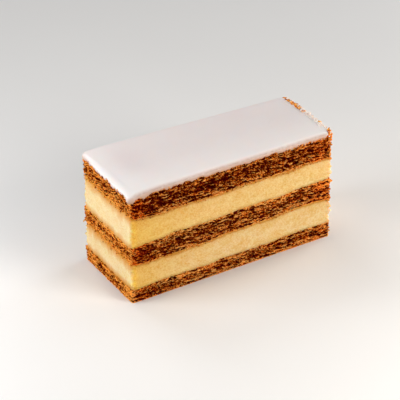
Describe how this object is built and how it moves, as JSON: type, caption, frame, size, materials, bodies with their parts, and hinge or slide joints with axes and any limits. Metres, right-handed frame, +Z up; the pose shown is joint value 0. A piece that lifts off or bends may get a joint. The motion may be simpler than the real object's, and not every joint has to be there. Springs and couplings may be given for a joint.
{
  "type": "mille feuille slice",
  "caption": "Oblong slice of mille feuille: flaky baked pastry sheets with set custard between them and a smooth white fondant coat on top, cut square on every side.",
  "frame": {"origin": "middle of the flat base that the slice rests on", "axes": "+X along the slice towards the end where the pastry stands up beside the icing, +Z up, -Y out of the long cut face that shows"},
  "size_m": [0.11, 0.0456, 0.0587],
  "materials": {
    "pastry": "baked puff pastry, golden to dark brown leaves with hollows between them, matt and crumbly",
    "custard": "set vanilla custard, pale warm yellow, fine grained with a soft sheen",
    "icing": "poured white fondant, smooth and satin with a soft rounded rim"
  },
  "bodies": {
    "root": {"pastry_bottom": "pastry", "custard_lower": "custard", "pastry_middle": "pastry", "custard_upper": "custard", "pastry_top": "pastry", "icing": "icing"}
  },
  "joints": []
}
